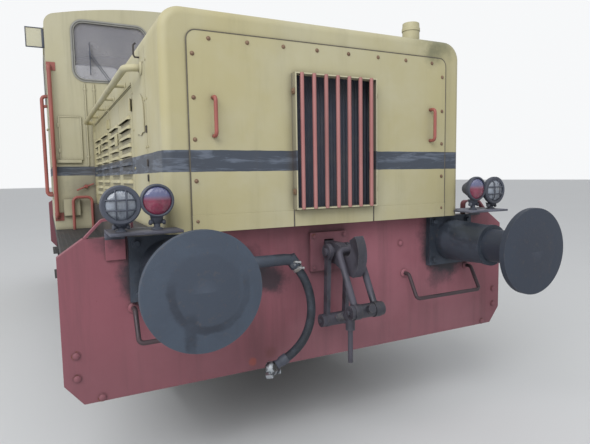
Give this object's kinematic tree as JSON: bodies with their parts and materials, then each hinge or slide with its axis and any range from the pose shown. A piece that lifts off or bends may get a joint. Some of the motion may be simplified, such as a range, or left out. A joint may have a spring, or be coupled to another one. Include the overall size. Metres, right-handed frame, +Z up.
{
  "type": "two-axle diesel shunting locomotive",
  "caption": "Small two-axle diesel shunting locomotive: long front hood with louvred side doors, rear cab, plate end beams, side buffers and screw couplings.",
  "frame": {"origin": "floor level under the wheel flanges, midway between the end beams and the wheels", "axes": "-Y is the hood end and forward, +X is the right-hand side seen from behind, +Z up"},
  "size_m": [2.926, 7.18, 3.3098],
  "materials": {
    "frame_black": "matt",
    "beam_red": "faded satin",
    "cream_paint": "faded satin",
    "rail_red": "worn satin",
    "greasy_steel": "greasy",
    "wheel_steel": "worn",
    "rubber_hose": "matt",
    "fitting_metal": "worn",
    "clear_glass": "clear",
    "core_dark": "matt",
    "engine_grey": "oily",
    "desk_grey": "satin",
    "seat_cover": "matt",
    "lamp_black": "satin",
    "floor_wood": "worn"
  },
  "bodies": {
    "locomotive": {"air_reservoir": "frame_black", "axleboxes": "frame_black", "brake_cocks": "greasy_steel", "brake_gear": "frame_black", "brake_hose": "rubber_hose", "buffer_casings": "greasy_steel", "buffer_heads": "greasy_steel", "cab_fittings": "cream_paint", "cab_floor": "floor_wood", "cab_front_wall": "cream_paint", "cab_glass": "clear_glass", "cab_rear_wall": "cream_paint", "cab_roof": "cream_paint", "cab_sides": "cream_paint", "cab_steps": "frame_black", "corner_hoops": "beam_red", "draw_hooks": "greasy_steel", "driver_desk": "desk_grey", "driver_seat": "desk_grey", "end_beams": "beam_red", "engine_block": "engine_grey", "exhaust_stub": "cream_paint", "front_panel": "cream_paint", "fuel_tank": "frame_black", "grab_rails": "rail_red", "hood_rails": "cream_paint", "hood_shell": "cream_paint", "hose_coupling": "fitting_metal", "lamp_shelves": "frame_black", "leaf_springs": "frame_black", "main_frame": "frame_black", "radiator_core": "core_dark", "radiator_grille": "rail_red", "red_lamps": "lamp_black", "sandboxes": "frame_black", "screw_couplings": "greasy_steel", "seat_cushions": "seat_cover", "shunter_rails": "frame_black", "walkways": "frame_black", "white_lamps": "lamp_black", "wind_deflectors": "clear_glass", "window_seals": "rubber_hose"},
    "wheelset_front": {"wheelset_front": "wheel_steel"},
    "wheelset_rear": {"wheelset_rear": "wheel_steel"},
    "hood_door_left_1": {"hood_door_left_1": "cream_paint"},
    "hood_door_left_2": {"hood_door_left_2": "cream_paint"},
    "hood_door_left_3": {"hood_door_left_3": "cream_paint"},
    "hood_door_left_4": {"hood_door_left_4": "cream_paint"},
    "cab_door_left": {"cab_door_left": "cream_paint", "door_glass_left": "clear_glass"},
    "hood_door_right_1": {"hood_door_right_1": "cream_paint"},
    "hood_door_right_2": {"hood_door_right_2": "cream_paint"},
    "hood_door_right_3": {"hood_door_right_3": "cream_paint"},
    "hood_door_right_4": {"hood_door_right_4": "cream_paint"},
    "cab_door_right": {"cab_door_right": "cream_paint", "door_glass_right": "clear_glass"}
  },
  "joints": [
    {"name": "front_axle_turn", "type": "hinge", "parent": "locomotive", "child": "wheelset_front", "pos_m": [0, -1.45, 0.453], "axis": [1, 0, 0], "continuous": true},
    {"name": "rear_axle_turn", "type": "hinge", "parent": "locomotive", "child": "wheelset_rear", "pos_m": [0, 1.45, 0.453], "axis": [1, 0, 0], "continuous": true},
    {"name": "hood_door_left_1_open", "type": "hinge", "parent": "locomotive", "child": "hood_door_left_1", "pos_m": [-0.897, -2.225, 1.645], "axis": [0, 0, 1], "range_deg": [0, 90]},
    {"name": "hood_door_left_2_open", "type": "hinge", "parent": "locomotive", "child": "hood_door_left_2", "pos_m": [-0.897, -1.075, 1.645], "axis": [0, 0, -1], "range_deg": [0, 90]},
    {"name": "hood_door_left_3_open", "type": "hinge", "parent": "locomotive", "child": "hood_door_left_3", "pos_m": [-0.897, -1.015, 1.645], "axis": [0, 0, 1], "range_deg": [0, 90]},
    {"name": "hood_door_left_4_open", "type": "hinge", "parent": "locomotive", "child": "hood_door_left_4", "pos_m": [-0.897, 0.135, 1.645], "axis": [0, 0, -1], "range_deg": [0, 90]},
    {"name": "cab_door_left_open", "type": "hinge", "parent": "locomotive", "child": "cab_door_left", "pos_m": [-1.24, 1.24, 2.028], "axis": [0, 0, 1], "range_deg": [0, 90]},
    {"name": "hood_door_right_1_open", "type": "hinge", "parent": "locomotive", "child": "hood_door_right_1", "pos_m": [0.897, -2.225, 1.645], "axis": [0, 0, -1], "range_deg": [0, 90]},
    {"name": "hood_door_right_2_open", "type": "hinge", "parent": "locomotive", "child": "hood_door_right_2", "pos_m": [0.897, -1.075, 1.645], "axis": [0, 0, 1], "range_deg": [0, 90]},
    {"name": "hood_door_right_3_open", "type": "hinge", "parent": "locomotive", "child": "hood_door_right_3", "pos_m": [0.897, -1.015, 1.645], "axis": [0, 0, -1], "range_deg": [0, 90]},
    {"name": "hood_door_right_4_open", "type": "hinge", "parent": "locomotive", "child": "hood_door_right_4", "pos_m": [0.897, 0.135, 1.645], "axis": [0, 0, 1], "range_deg": [0, 90]},
    {"name": "cab_door_right_open", "type": "hinge", "parent": "locomotive", "child": "cab_door_right", "pos_m": [1.24, 1.24, 2.028], "axis": [0, 0, -1], "range_deg": [0, 90]}
  ]
}
